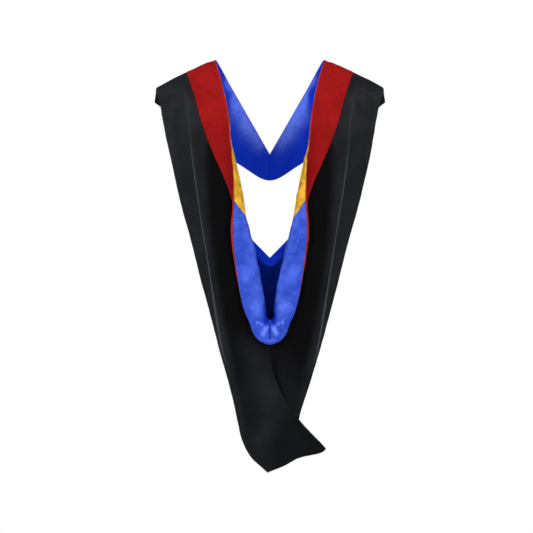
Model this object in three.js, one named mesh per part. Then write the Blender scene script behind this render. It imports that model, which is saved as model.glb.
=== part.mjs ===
import * as THREE from "three";

// An academic hood of the master's pattern, in the shape that it takes down a wearer's back.
// It is two mirrored panels, sewn at the centre front, at the centre back and along the tail.
// Each panel runs from the centre front over one shoulder and down the back to the tail. There it is
// a bag: an outer layer that faces backwards, a fold along the side, and a layer that lies on the back.
// Units are millimetres, +Z is up and -Y is behind the wearer. The origin is midway between the two
// neck points, where the velvet edges cross the tops of the shoulders.

// Overall reach
const drop = 1001; // neck points down to the tip of the tail
const halfSpan = 281; // centre line out to the hem's outer corner on a shoulder
const chestReach = 104; // centre front, in front of the shoulder ridge
const backReach = 150; // deepest point of the bag, behind the shoulder ridge

// Cloth
const velvetWidth = 76; // band of velvet along the neck edge
const velvetTuck = 16; // part of that width lost in the crease under the turned back edge
const velvetWall = 1.6;
const shellWall = 1.2;
const liningWall = 1;
const layerGap = 0.3; // between the lining and what it lies on
const seamGap = 0.3; // between two pieces sewn edge to edge
const velvetEdge = 2.6; // how far the velvet reaches past the lining along the neck edge

// Folds
const rollRadius = 6.5; // where the turned back edge rolls over
const foldRadius = 11; // at the side fold of the bag
const flatLapel = 25; // stretch of the neck edge that later turns back
const lapelPuff = 5; // how far the turned back edge stands off its chord
const layerBulge = 13; // roundness of the outer layer between its edges
const pleatHeight = 9; // soft pleat that runs down each outer layer
const ridgeRound = 9; // half width of the rounded ridge along the tail

// Where the lining changes, in rows of the table below
const chevronTop = 4.5;
const chevronEnd = 8;
const liningEnd = 13;

// One row for each section across the left panel, from the centre front to the foot of the opening.
// x is a share of halfSpan, z of drop, and y of chestReach in front and of backReach behind.
// edge: the neck edge. roll and turn: where the edge turns back, and how far, from 0 to 1.
// layer: depth of the outer layer beside the neck edge. fold: the side fold. hem: the plain edge,
// which is the centre seam once the two hems have met. crease: how far the side is folded.
// pleat: place of the pleat between fold and neck edge, and its height as a share of pleatHeight.
const sectionColumns =
  "edgeX edgeZ edgeY rollX rollZ turn layerY foldX foldZ foldY hemX hemZ hemY crease pleatAt pleat";
const sectionRows = [
  [0.0, 0.227, 0.93, 0.0, 0.227, 0, 0.94, 0.0, 0.28, 0.99, 0.0, 0.292, 1.0, 0, 0.45, 0],
  [0.154, 0.152, 0.83, 0.154, 0.152, 0, 0.86, 0.23, 0.235, 0.98, 0.249, 0.256, 0.99, 0, 0.45, 0],
  [0.317, 0.073, 0.52, 0.317, 0.073, 0, 0.54, 0.56, 0.16, 0.76, 0.619, 0.183, 0.79, 0, 0.45, 0],
  [0.468, 0.0, 0.0, 0.468, 0.0, 0, 0.0, 0.98, 0.069, 0.02, 1.0, 0.103, 0.12, 0.15, 0.45, 0],
  [0.416, 0.052, -0.32, 0.416, 0.052, 0, -0.31, 0.962, 0.094, -0.09, 0.905, 0.128, -0.02, 0.7, 0.45, 0.4],
  [0.365, 0.12, -0.61, 0.365, 0.12, 0.1, -0.58, 0.916, 0.152, -0.24, 0.8, 0.2, -0.25, 1, 0.42, 0.9],
  [0.334, 0.198, -0.85, 0.315, 0.2, 0.7, -0.74, 0.86, 0.234, -0.37, 0.6, 0.289, -0.48, 1, 0.37, 1],
  [0.317, 0.27, -0.92, 0.262, 0.287, 1, -0.81, 0.8, 0.311, -0.47, 0.38, 0.364, -0.6, 1, 0.35, 1],
  [0.314, 0.341, -0.93, 0.2, 0.387, 1, -0.84, 0.735, 0.384, -0.54, 0.18, 0.43, -0.63, 1, 0.33, 1],
  [0.324, 0.42, -0.94, 0.132, 0.463, 1, -0.85, 0.662, 0.456, -0.59, 0.0, 0.482, -0.64, 1, 0.3, 1],
  [0.283, 0.524, -0.93, 0.072, 0.543, 1, -0.84, 0.584, 0.541, -0.62, 0.0, 0.56, -0.63, 1, 0.27, 0.9],
  [0.193, 0.628, -0.95, 0.033, 0.606, 1, -0.84, 0.494, 0.638, -0.64, 0.0, 0.645, -0.62, 1, 0.25, 0.6],
  [0.0, 0.692, -0.99, 0.0, 0.634, 1, -0.84, 0.417, 0.715, -0.67, 0.0, 0.73, -0.63, 1, 0.25, 0.3],
];

// One row for each section across the tail, where the ridge of the two outer layers swings to one side.
// seam: the ridge. left and right: the two side folds. back: the centre seam of the inner layers.
// puff: how far each outer layer stands off its chord, as shares of layerBulge. sag: how far the left
// one drops beside the ridge and rises at its middle, as a share of ridgeRound.
const tailColumns =
  "seamX seamZ seamY leftX leftZ leftY rightX rightZ rightY backX backZ backY crease puffLeft puffRight sag";
const tailRows = [
  [0.027, 0.759, -0.92, -0.335, 0.804, -0.7, 0.333, 0.797, -0.7, -0.033, 0.814, -0.66, 0.8, 0.9, 0.3, 0],
  [0.139, 0.831, -1.0, -0.279, 0.872, -0.73, 0.255, 0.867, -0.74, -0.102, 0.887, -0.7, 0.5, 0.8, -0.2, 0],
  [0.294, 0.889, -0.98, -0.236, 0.923, -0.76, 0.234, 0.916, -0.79, -0.171, 0.935, -0.72, 0.35, 0.6, -0.3, 0],
  [0.402, 0.922, -0.92, -0.167, 0.959, -0.77, 0.19, 0.947, -0.81, -0.12, 0.966, -0.745, 0.25, 0.4, -0.2, 0],
  [0.479, 0.943, -0.88, -0.012, 1.0, -0.8, 0.174, 0.972, -0.82, 0.044, 0.99, -0.785, 0.2, 0.15, -0.1, 0.5],
];

// Control points across a section, in order from the neck edge to the hem
const across = [
  "edge",
  "lapel",
  "top of the roll",
  "roll",
  "outer layer",
  "valley",
  "pleat",
  "slope",
  "front of the fold",
  "fold",
  "back of the fold",
  "inner layer",
  "hem",
];
const EDGE = across.indexOf("edge");
const LAYER = across.indexOf("outer layer");
const FOLD = across.indexOf("fold");
const HEM = across.indexOf("hem");
const LAPEL_END = sectionRows.length - 1; // last row with a turned back edge
const ROWS_END = sectionRows.length + tailRows.length - 1;

const behind = new THREE.Vector3(0, -1, 0);
const up = new THREE.Vector3(0, 0, 1);

function named(columns, row) {
  return Object.fromEntries(columns.split(" ").map((name, i) => [name, row[i]]));
}

// Point from the shares in a table, on the left side for side = 1 and on the right for side = -1
function place(x, y, z, side) {
  return new THREE.Vector3(-side * x * halfSpan, y * (y > 0 ? chestReach : backReach), -z * drop);
}

function mix(a, b, share) {
  return a.clone().lerp(b, share);
}

function towards(from, to) {
  return to.clone().sub(from).normalize();
}

// Moves a point along a direction by a length
function step(from, direction, length) {
  return from.clone().addScaledVector(direction, length);
}

// The three points that round a side fold, between the layer in front of it and the one behind it
function foldPoints(fold, inFront, inBack, crease) {
  const a = towards(fold, inFront);
  const b = towards(fold, inBack);
  const reach = Math.min(foldRadius, fold.distanceTo(inFront) / 4, fold.distanceTo(inBack) / 3);
  const lift = reach * crease;
  return [step(step(fold, a, reach), behind, lift), fold, step(step(fold, b, reach), behind, -lift)];
}

// Outer layer from its inner end to the side fold: three points on a rounded chord with a pleat
function layerPoints(start, foldFront, bulge, pleatAt, pleat) {
  return [(1 + pleatAt) / 2, pleatAt, pleatAt / 2].map((share, i) => {
    const round = bulge * 4 * share * (1 - share);
    return step(mix(foldFront, start, share), behind, round + (i === 1 ? pleat : -pleat / 2));
  });
}

function sectionPoints(row, side) {
  const s = named(sectionColumns, row);
  const edge = place(s.edgeX, s.edgeY, s.edgeZ, side);
  const fold = place(s.foldX, s.foldY, s.foldZ, side);
  const hem = place(s.hemX, s.hemY, s.hemZ, side);
  const roll = place(s.rollX, s.layerY, s.rollZ, side);
  const along = towards(edge, fold);
  const outward = s.turn ? towards(roll, edge).setY(0).normalize() : along;
  const flat = [0, 0.25, 0.5, 0.75, 1].map((share) => step(edge, along, flatLapel * share));
  const radius = Math.min(rollRadius, roll.distanceTo(edge) / 5);
  const top = step(step(roll, outward, radius), behind, 2 * radius);
  const puff = Math.min(lapelPuff, top.distanceTo(edge) / 7);
  const turned = [
    edge,
    step(mix(edge, top, 0.5), behind, puff),
    top,
    step(roll, behind, radius),
    step(roll, outward, radius),
  ];
  const lapel = flat.map((point, i) => mix(point, turned[i], s.turn));
  const creases = foldPoints(fold, lapel[LAYER], hem, s.crease);
  const layer = layerPoints(
    lapel[LAYER],
    creases[0],
    layerBulge * s.crease,
    s.pleatAt,
    pleatHeight * s.pleat,
  );
  return [...lapel, ...layer, ...creases, mix(creases[2], hem, 0.5), hem];
}

function tailPoints(row, side) {
  const s = named(tailColumns, row);
  const seam = place(-s.seamX, s.seamY, s.seamZ, 1);
  const back = place(-s.backX, s.backY, s.backZ, 1);
  const left = place(-s.leftX, s.leftY, s.leftZ, 1);
  const right = place(-s.rightX, s.rightY, s.rightZ, 1);
  const fold = side > 0 ? left : right;
  const puff = layerBulge * (side > 0 ? s.puffLeft : s.puffRight);
  const creases = foldPoints(fold, seam, back, s.crease * (side > 0 || s.puffRight > 0 ? 1 : 0));
  const ridge = step(step(seam, towards(seam, creases[0]), ridgeRound), behind, puff > 0 ? 1 : -3);
  const sag = side > 0 ? ridgeRound * s.sag : 0;
  const layer = layerPoints(seam, creases[0], puff, 0.5, 0);
  layer[0] = step(ridge, up, -sag);
  layer[1] = step(layer[1], up, sag);
  return [seam, ...layer, ...creases, mix(creases[2], back, 0.5), back];
}

// Control points of one panel: row by row, with nothing before LAYER in the tail's rows
function panelControls(side) {
  const upper = sectionRows.map((row) => sectionPoints(row, side));
  const lower = tailRows.map((row) => [...Array(LAYER).fill(null), ...tailPoints(row, side)]);
  return [...upper, ...lower];
}

const controls = { left: panelControls(1), right: panelControls(-1) };

function mirrored(point) {
  return new THREE.Vector3(-point.x, point.y, point.z);
}

// Cubic through b and c that leaves b as if it came from a and reaches c as if it went on to d
function cubic(a, b, c, d, t) {
  const reach = (p, q) => Math.sqrt(Math.max(p.distanceTo(q), 1e-6));
  const t0 = 0;
  const t1 = t0 + reach(a, b);
  const t2 = t1 + reach(b, c);
  const t3 = t2 + reach(c, d);
  const at = t1 + (t2 - t1) * t;
  const blend = (p, q, from, to) => mix(p, q, (at - from) / (to - from));
  const ab = blend(a, b, t0, t1);
  const bc = blend(b, c, t1, t2);
  const cd = blend(c, d, t2, t3);
  return blend(blend(ab, bc, t0, t2), blend(bc, cd, t1, t3), t1, t2);
}

// A control point at any row between those of the tables. The lapel's rows go on into the other panel
// at the foot of the opening, and the seam below it starts afresh there.
function controlAt(side, column, row) {
  const rows = controls[side];
  const low = Math.min(Math.floor(row), ROWS_END - 1);
  const lapel = column <= LAYER && low < LAPEL_END;
  const atSeam = column <= LAYER && low === LAPEL_END;
  const afresh = atSeam || (column === HEM && low === closedHem);
  const b = rows[low][column];
  const c = rows[low + 1][column];
  if (row === low) return b;
  if (row === low + 1) return c;
  const before = low > 0 && !afresh ? rows[low - 1][column] : step(b, b.clone().sub(c), 1);
  let after = low + 2 <= ROWS_END ? rows[low + 2][column] : step(c, c.clone().sub(b), 1);
  if (lapel && low + 1 === LAPEL_END) after = mirrored(rows[low][column]);
  return cubic(before, b, c, after, row - low);
}

// A point on a panel: row along it and column across it, each any number between control points
function surfaceAt(side, row, column) {
  const other = side === "left" ? "right" : "left";
  const low = Math.min(Math.floor(column), HEM - 1);
  const b = controlAt(side, low, row);
  const c = controlAt(side, low + 1, row);
  const share = column - low;
  if (share === 0) return b;
  if (share === 1) return c;
  const seamed = row >= LAPEL_END;
  let before = step(b, b.clone().sub(c), 1);
  if (seamed && low === LAYER) before = controlAt(other, LAYER + 1, row);
  else if (low > EDGE) before = controlAt(side, low - 1, row);
  let after = step(c, c.clone().sub(b), 1);
  if (row >= closedHem && low + 1 === HEM) after = controlAt(other, HEM - 1, row);
  else if (low + 1 < HEM && !(seamed && low + 1 === LAYER)) after = controlAt(side, low + 2, row);
  return cubic(before, b, c, after, share);
}

// First row whose hem lies on the centre line
const closedHem = sectionRows.findIndex((row, i) => i > 1 && named(sectionColumns, row).hemX === 0);

// How far the neck edge is turned back at any row of the first table
function turnAt(row) {
  const low = Math.min(Math.floor(row), LAPEL_END - 1);
  const [from, to] = [low, low + 1].map((i) => named(sectionColumns, sectionRows[i]).turn);
  return from + (to - from) * (row - low);
}

// Column at which the velvet ends in a row: velvetWidth from the neck edge, measured across the panel
function velvetColumn(side, row) {
  const steps = 8 * HEM;
  const shown = velvetWidth - velvetTuck * turnAt(row);
  let width = 0;
  let last = surfaceAt(side, row, EDGE);
  for (let i = 1; i <= steps; i++) {
    const column = (i * HEM) / steps;
    const next = surfaceAt(side, row, column);
    const ahead = surfaceAt(side, Math.min(row + 0.1, LAPEL_END), column);
    const before = surfaceAt(side, Math.max(row - 0.1, 0), column);
    width += next.clone().sub(last).cross(towards(before, ahead)).length();
    last = next;
    if (width >= shown) return column;
  }
  return HEM;
}

// Rows of the grid that carries every piece, closer together where the neck edge turns to the centre
const gridRows = [
  0, 0.5, 1, 1.5, 2, 2.5, 3, 3.5, 4, 4.5, 5, 5.5, 6, 6.5, 7, 7.5, 8, 8.5, 9, 9.5, 10, 10.5, 11,
  11.4, 11.75, 12, 12.5, 13, 13.5, 14, 14.5, 15, 15.5, 16, 16.5, 17,
];
const lapelColumns = 6; // grid columns from the neck edge to LAYER
const velvetColumns = 3; // from LAYER to the velvet's seam
const outerShares = [0, 0.1, 0.2, 0.32, 0.44, 0.6, 0.72, 0.86, 1]; // from the seam to the side fold

// Columns of one grid row, each as a place between control points
function gridColumns(side, row) {
  const seam = row >= LAPEL_END ? LAYER + 1 : Math.max(velvetColumn(side, row), LAYER + 0.4);
  const velvetEnd = Math.min(seam, HEM - 0.5);
  const fold = velvetEnd < FOLD - 1 ? FOLD : mean(velvetEnd, HEM);
  const lapel = shares(lapelColumns).map((share) => LAYER * share);
  const velvet = shares(velvetColumns).map((share) => LAYER + (velvetEnd - LAYER) * share);
  const outer = outerShares.map((share) => velvetEnd + (fold - velvetEnd) * share);
  const inner = [0.17, 0.35, 0.67, 1].map((share) => fold + (HEM - fold) * share);
  return [...lapel, ...velvet, ...outer, ...inner];
}

// The first of so many equal parts of one, without the last
function shares(count) {
  return Array.from({ length: count }, (_, i) => i / count);
}

function mean(a, b) {
  return (a + b) / 2;
}

const SEAM_COLUMN = lapelColumns + velvetColumns;
const LAST_COLUMN = SEAM_COLUMN + outerShares.length + 3;

// The two grids as one mesh, in which the panels share the points of their common seams
const points = [];
const pointAt = new Map();

function pointIndex(p) {
  const key = [p.x, p.y, p.z].map((v) => Math.round(v * 100)).join(" ");
  if (!pointAt.has(key)) {
    pointAt.set(key, points.length);
    points.push(p);
  }
  return pointAt.get(key);
}

const neckEdge = new Set(); // points of the mesh along the neck edge

// Faces of one panel, each with its row, its column and its corners, turned to face out of the cloth
function panelFaces(side) {
  const grid = gridRows.map((row) => {
    const columns = gridColumns(side, row);
    return columns.map((column, i) => {
      if (row > LAPEL_END && i < lapelColumns) return -1;
      return pointIndex(surfaceAt(side, row, column));
    });
  });
  for (const row of grid) neckEdge.add(row[0]);
  const faces = [];
  for (let r = 0; r + 1 < gridRows.length; r++) {
    const first = gridRows[r] >= LAPEL_END ? lapelColumns : 0;
    for (let c = first; c < LAST_COLUMN; c++) {
      const corners = [grid[r][c], grid[r + 1][c], grid[r + 1][c + 1], grid[r][c + 1]];
      if (side === "left") corners.reverse();
      faces.push({ row: gridRows[r], column: c, corners });
    }
  }
  return faces;
}

const panels = { left: panelFaces("left"), right: panelFaces("right") };

function faceNormal([a, b, c, d]) {
  const across = points[c].clone().sub(points[a]);
  const down = points[d].clone().sub(points[b]);
  return across.cross(down).normalize();
}

const normals = points.map(() => new THREE.Vector3());
for (const face of [...panels.left, ...panels.right]) {
  const normal = faceNormal(face.corners);
  for (const corner of face.corners) normals[corner].add(normal);
}
normals.forEach((normal) => normal.normalize());

// Edges of a piece's outline, each as its two points in the order of the faces
function outlineOf(faces) {
  const edges = faces.flatMap(({ corners }) => corners.map((from, i) => [from, corners[(i + 1) % 4]]));
  const found = new Set(edges.map(([from, to]) => from + " " + to));
  return edges.filter(([from, to]) => from !== to && !found.has(to + " " + from));
}

// The move that takes each point of an outline into the piece, clear of the piece next to it
function insets(outline, edgeInset) {
  const sides = new Map();
  for (const [from, to] of outline) {
    const along = towards(points[from], points[to]);
    const inset = neckEdge.has(from) && neckEdge.has(to) ? edgeInset : seamGap / 2;
    for (const end of [from, to]) {
      const inward = normals[end].clone().cross(along).normalize();
      sides.set(end, [...(sides.get(end) ?? []), { inward, inset }]);
    }
  }
  const moves = new Map();
  for (const [end, [a, b]] of sides) moves.set(end, cornerMove(a, b));
  return moves;
}

// Moves a corner so that it lies inside each of its two sides by that side's inset
function cornerMove(a, b) {
  const alike = Math.max(a.inward.dot(b.inward), -0.85);
  const straight = alike > 0.9;
  const sharesA = straight ? a.inset / (1 + alike) : (a.inset - alike * b.inset) / (1 - alike * alike);
  const sharesB = straight ? b.inset / (1 + alike) : (b.inset - alike * a.inset) / (1 - alike * alike);
  return a.inward.clone().multiplyScalar(sharesA).addScaledVector(b.inward, sharesB);
}

// A face as two triangles, split along its shorter diagonal
function halves({ corners: [a, b, c, d] }) {
  const alongAC = points[a].distanceTo(points[c]) <= points[b].distanceTo(points[d]);
  return alongAC ? [[a, b, c], [a, c, d]] : [[a, b, d], [b, c, d]];
}

// A solid piece of cloth: the faces between two heights above the panel's middle surface
function cloth(name, faces, low, high, edgeInset, material) {
  const outline = outlineOf(faces);
  const inset = insets(outline, edgeInset);
  const used = [...new Set(faces.flatMap((face) => face.corners))];
  const slot = new Map(used.map((index, i) => [index, i]));
  const lift = (index, height) => {
    const p = step(points[index], normals[index], height);
    return inset.has(index) ? p.add(inset.get(index)) : p;
  };
  const corners = [...used.map((i) => lift(i, high)), ...used.map((i) => lift(i, low))];
  const top = (index) => slot.get(index);
  const bottom = (index) => slot.get(index) + used.length;
  const triangles = [];
  for (const [a, b, c] of faces.flatMap(halves)) {
    triangles.push(top(a), top(b), top(c));
    triangles.push(bottom(a), bottom(c), bottom(b));
  }
  for (const [from, to] of outline)
    triangles.push(top(from), bottom(from), bottom(to), top(from), bottom(to), top(to));
  const geometry = new THREE.BufferGeometry().setFromPoints(corners).setIndex(triangles);
  geometry.computeVertexNormals();
  const mesh = new THREE.Mesh(geometry, material);
  mesh.name = name;
  return mesh;
}

const materials = {
  velvet: new THREE.MeshStandardMaterial({ color: 0x9c1b1f, roughness: 0.9, metalness: 0 }),
  shell: new THREE.MeshStandardMaterial({ color: 0x17181b, roughness: 0.8, metalness: 0 }),
  lining: new THREE.MeshStandardMaterial({ color: 0x2440c0, roughness: 0.4, metalness: 0 }),
  chevron: new THREE.MeshStandardMaterial({ color: 0xd9ad33, roughness: 0.4, metalness: 0 }),
};

// First row at which the panel is wider than its velvet
function shellStart(side) {
  const wide = (row) => velvetColumn(side, row) < HEM;
  return gridRows.find((row) => wide(row));
}

function panelPieces(side) {
  const faces = panels[side];
  const start = shellStart(side);
  const between = (from, to) => faces.filter(({ row }) => row >= from && row < to);
  const isVelvet = ({ row, column }) =>
    row < LAPEL_END && (row < start || column < SEAM_COLUMN);
  const face = layerGap / 2;
  const outer = (name, own, wall, material) =>
    cloth(name + "_" + side, own, face, face + wall, seamGap / 2, material);
  const inner = (name, own, material) =>
    cloth(name + "_" + side, own, -face - liningWall, -face, velvetEdge, material);
  return [
    outer("velvet", faces.filter(isVelvet), velvetWall, materials.velvet),
    outer("shell", faces.filter((face) => !isVelvet(face)), shellWall, materials.shell),
    inner("neck_lining", between(0, chevronTop), materials.lining),
    inner("chevron", between(chevronTop, chevronEnd), materials.chevron),
    inner("back_lining", between(chevronEnd, liningEnd), materials.lining),
  ];
}

const hood = new THREE.Group();
hood.name = "academic_hood";
hood.add(...panelPieces("left"), ...panelPieces("right"));

export default hood;
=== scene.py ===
# An academic hood of the master's pattern, seen from behind as it hangs down a wearer's back.
# Two mirrored panels of black cloth, edged with crimson velvet and lined with blue satin that a gold
# chevron crosses. Metres, +Z up and -Y behind the wearer; the origin is midway between the neck points.
import math
from functools import partial

import bpy
import numpy as np
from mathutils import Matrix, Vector


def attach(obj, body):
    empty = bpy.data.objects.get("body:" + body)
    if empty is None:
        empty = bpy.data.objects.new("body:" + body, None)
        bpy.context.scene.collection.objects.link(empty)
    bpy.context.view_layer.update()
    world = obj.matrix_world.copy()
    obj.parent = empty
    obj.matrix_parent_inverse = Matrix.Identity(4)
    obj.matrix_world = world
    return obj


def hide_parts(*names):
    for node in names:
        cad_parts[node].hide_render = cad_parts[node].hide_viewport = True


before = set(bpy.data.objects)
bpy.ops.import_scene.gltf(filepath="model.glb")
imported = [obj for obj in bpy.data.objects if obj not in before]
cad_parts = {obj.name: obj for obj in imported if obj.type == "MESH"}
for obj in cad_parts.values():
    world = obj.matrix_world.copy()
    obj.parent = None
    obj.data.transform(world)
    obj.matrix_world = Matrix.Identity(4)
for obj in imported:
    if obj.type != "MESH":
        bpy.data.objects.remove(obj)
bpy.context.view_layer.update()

MM = 0.001


def mm(*lengths):
    """Lengths given in millimetres"""
    return tuple(length * MM for length in lengths)


# Overall reach
drop = 1001 * MM  # neck points down to the tip of the tail
half_span = 281 * MM  # centre line out to the hem's outer corner on a shoulder
chest_reach = 104 * MM  # centre front, in front of the shoulder ridge
back_reach = 150 * MM  # deepest point of the bag, behind the shoulder ridge

# Cloth
velvet_width = 76 * MM
velvet_tuck = 16 * MM  # part of that width lost in the crease under the turned back edge
velvet_ease = 3 * MM  # taken out of the velvet's width where it goes over the shoulder blade
ease_row, ease_spread = 5.1, 0.7
velvet_wall = 1.6 * MM
shell_wall = 1.2 * MM
lining_wall = 1.0 * MM
layer_gap = 0.3 * MM
rim_tuck = 0.35  # share of the wall by which the faces stop short of the rounded rim

# Stitches
stitch_pitch = 3.2 * MM
stitch_length = 2.5 * MM
thread_width = 0.55 * MM
thread_lift = 0.15 * MM

# Folds of the pattern
roll_radius = 6.5 * MM
fold_radius = 11 * MM
flat_lapel = 25 * MM
lapel_puff = 5 * MM
layer_bulge = 13 * MM
pleat_height = 9 * MM
ridge_round = 9 * MM
ridge_lift, ridge_sink = 1 * MM, -3 * MM  # of the tail's ridge, where a layer is puffed and where it isn't

# A roll, puff or side fold takes up at most one part in this many of the cloth beside it
roll_part, puff_part, fold_front_part, fold_back_part = 5, 7, 4, 3

# Folds that only show close up
pressed_crease = 3.4 * MM  # height of the pressed line along each outer layer
soft_line = 0.55  # share of that height on the shoulder
crease_rows = (4, 6)
crease_width = mm(13, 3.2)  # of the pressed line at those two rows
facing_width = 20 * MM  # turned facing along the hem of the layer on the back
facing_step = 0.6 * MM
shoulder_ridge = 3.2 * MM
cap_fold_height = 3.6 * MM
cap_fold_width = 9 * MM
gather_height = 1.3 * MM
pillow_height = 4.0 * MM
pillow_width = 6 * MM
nick_height = 2.0 * MM
nick_width = 7 * MM
same_point = 0.01 * MM  # points of the two panels that lie this close are one
centre_hold = 4 * MM  # nearer than this to the centre line, the moves that round the foot fade out

# Folds on the cap of each shoulder: distance from the centre line and height at both ends, and a share
cap_lines = [
    (mm(196, -28), mm(238, -126), 0.9),
    (mm(214, -62), mm(262, -86), 1.0),
    (mm(178, -50), mm(206, -150), 0.65),
]

# Two more lines in the same measures: the small pillow on either side of the foot of the opening, and
# the nick in the left layer at the tail's corner
pillow_axis = (mm(6, -647), mm(18, -668))
nick_line = (mm(53, -940), mm(16, -917))

# Fine gathers: height, slope, swing and length of the waves, the turn they start with, and width
gather_lines = {
    "upper": (-653 * MM, 0.5, 2.4 * MM, 8 * MM, 0, 2.2 * MM),
    "lower": (-682 * MM, 0, 1.6 * MM, 6.5 * MM, 0.25, 1.6 * MM),
}

# How far two pieces reach past the neck edge, at a few rows. The velvet shows there as a red edge.
reach_rows = [0, 2.6, 3.2, 4.3, 4.8, 7.2, 7.8, 9, 9.5, 10, 10.4, 10.8, 12]
velvet_reach = [0, 0, 0, 0, 0, 0, 2.2, 3.0, 2.4, 1.4, 0.3, -0.7, -0.7]
lining_inset = [0.5, 0.5, -0.9, -0.9, 0.5, 0.8, 2.0, 2.4, 2.0, 1.2, 0.6, 0.2, 0.2]

# How far the pressed line has moved from the pleat towards the side fold, in columns, at a few rows
line_rows = [5, 6, 7, 8, 9, 10, 11, 12]
line_shift = [0, 0.18, 0.38, 0.56, 0.85, 1.28, 1.85, 2.3]

# How far inside the pressed line the black cloth's painted light ends, in millimetres, at a few rows, and
# how strong it is outside the line
painted_sheen_rows = [4, 5, 6, 7, 8, 12]
painted_sheen_inside = [160, 110, 36, 26, 19, 17]
painted_sheen_ramp = 30 * MM
strength_rows = [5, 6.2, 12, 13.5]
painted_sheen_strength = [1, 0.66, 0.7, 0.6]

# How far from the neck edge the light on the lining of the front reaches, in millimetres, and how
# strong it is, at a few rows
light_rows = [0, 0.12, 0.3, 0.45, 0.6, 0.75, 1, 1.3, 1.65, 1.8, 2, 2.3, 2.5, 2.8]
light_reach = [-30, -10, 10, 26, 36, 44, 48, 49, 46, 36, 16, 7, -1, -18]
light_share = [0.8, 0.8, 0.9, 0.95, 1, 1, 1, 1, 1, 1, 1, 1, 1, 1]
ramp_rows = (1.6, 2)
light_ramp = mm(72, 24)
front_strength = 0.93

# Shade on the satin: on the bag's facing and below it, on the front out of the light and in it, in
# the least and the most shaded patches by the neck points, and below the gap beside the round foot
facing_shade = (0.57, 0.9)
front_shade = (0.5, 0.16)
neck_point_shade = (0.2, 0.55)
foot_shade = 0.1

# Light on the turned back edge: on the pillows, the gathers and two puffs, each puff with its distance
# from the centre line, width, height, tallness and strength
pillow_light_width = 5.8 * MM
gather_light = 0.9
puff_lights = [
    (*mm(34, 15, -600, 22), 0.24),
    (*mm(54, 12, -522, 24), 0.2),
]

# Rows at which the lining changes
chevron_top = 4.5
chevron_end = 8
lining_end = 13

# Middle of the band of painted light down the tail
tail_light_z = mm(-939, -903, -867, -794, -758, -722, -661)
tail_light_x = mm(-33, -9, 0, -4, -19, -38, -62)
tail_light_width = 34 * MM
tail_light = 0.42
painted_tail_sheen = 0.28

# Painted light on the shoulder caps: lost behind the side fold as painted shade, gained on each fold, and lost
# between them
cap_shade, cap_light, cap_dim = 0.8, 0.4, 0.14

# Sections across the left panel, from the centre front to the foot of the opening.
# x is a share of half_span, z of drop, and y of chest_reach in front and of back_reach behind.
section_columns = (
    "edge_x edge_z edge_y roll_x roll_z turn layer_y fold_x fold_z fold_y hem_x hem_z hem_y "
    "crease pleat_at pleat"
).split()
section_rows = [
    [0.0, 0.227, 0.93, 0.0, 0.227, 0, 0.94, 0.0, 0.28, 0.99, 0.0, 0.292, 1.0, 0, 0.45, 0],
    [0.154, 0.152, 0.83, 0.154, 0.152, 0, 0.86, 0.23, 0.235, 0.98, 0.249, 0.256, 0.99, 0, 0.45, 0],
    [0.317, 0.073, 0.52, 0.317, 0.073, 0, 0.54, 0.56, 0.16, 0.76, 0.619, 0.183, 0.79, 0, 0.45, 0],
    [0.468, 0.0, 0.0, 0.468, 0.0, 0, 0.0, 0.98, 0.069, 0.02, 1.0, 0.103, 0.12, 0.15, 0.45, 0],
    [0.416, 0.052, -0.32, 0.416, 0.052, 0, -0.31, 0.962, 0.094, -0.09, 0.905, 0.128, -0.02, 0.7, 0.45, 0.4],
    [0.365, 0.12, -0.61, 0.365, 0.12, 0.1, -0.58, 0.916, 0.152, -0.24, 0.8, 0.2, -0.25, 1, 0.42, 0.9],
    [0.334, 0.198, -0.85, 0.315, 0.2, 0.7, -0.74, 0.86, 0.234, -0.37, 0.6, 0.289, -0.48, 1, 0.37, 1],
    [0.317, 0.27, -0.92, 0.262, 0.287, 1, -0.81, 0.8, 0.311, -0.47, 0.38, 0.364, -0.6, 1, 0.35, 1],
    [0.314, 0.341, -0.93, 0.2, 0.387, 1, -0.84, 0.735, 0.384, -0.54, 0.18, 0.43, -0.63, 1, 0.33, 1],
    [0.324, 0.42, -0.94, 0.132, 0.463, 1, -0.85, 0.662, 0.456, -0.59, 0.0, 0.482, -0.64, 1, 0.3, 1],
    [0.283, 0.524, -0.93, 0.072, 0.543, 1, -0.84, 0.584, 0.541, -0.62, 0.0, 0.56, -0.63, 1, 0.27, 0.9],
    [0.193, 0.628, -0.95, 0.033, 0.606, 1, -0.84, 0.494, 0.638, -0.64, 0.0, 0.645, -0.62, 1, 0.25, 0.6],
    [0.0, 0.692, -0.99, 0.0, 0.634, 1, -0.84, 0.417, 0.715, -0.67, 0.0, 0.73, -0.63, 1, 0.25, 0.3],
]

# Sections across the tail, where the ridge of the two outer layers swings to one side
tail_columns = (
    "seam_x seam_z seam_y left_x left_z left_y right_x right_z right_y back_x back_z back_y "
    "crease puff_left puff_right sag"
).split()
tail_rows = [
    [0.027, 0.759, -0.92, -0.335, 0.804, -0.7, 0.333, 0.797, -0.7, -0.033, 0.814, -0.66, 0.8, 0.9, 0.3, 0],
    [0.139, 0.831, -1.0, -0.279, 0.872, -0.73, 0.255, 0.867, -0.74, -0.102, 0.887, -0.7, 0.5, 0.8, -0.2, 0],
    [0.294, 0.889, -0.98, -0.236, 0.923, -0.76, 0.234, 0.916, -0.79, -0.171, 0.935, -0.72, 0.35, 0.6, -0.3, 0],
    [0.402, 0.922, -0.92, -0.167, 0.959, -0.77, 0.19, 0.947, -0.81, -0.12, 0.966, -0.745, 0.25, 0.4, -0.2, 0],
    [0.479, 0.943, -0.88, -0.012, 1.0, -0.8, 0.174, 0.972, -0.82, 0.044, 0.99, -0.785, 0.2, 0.15, -0.1, 0.5],
]

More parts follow.
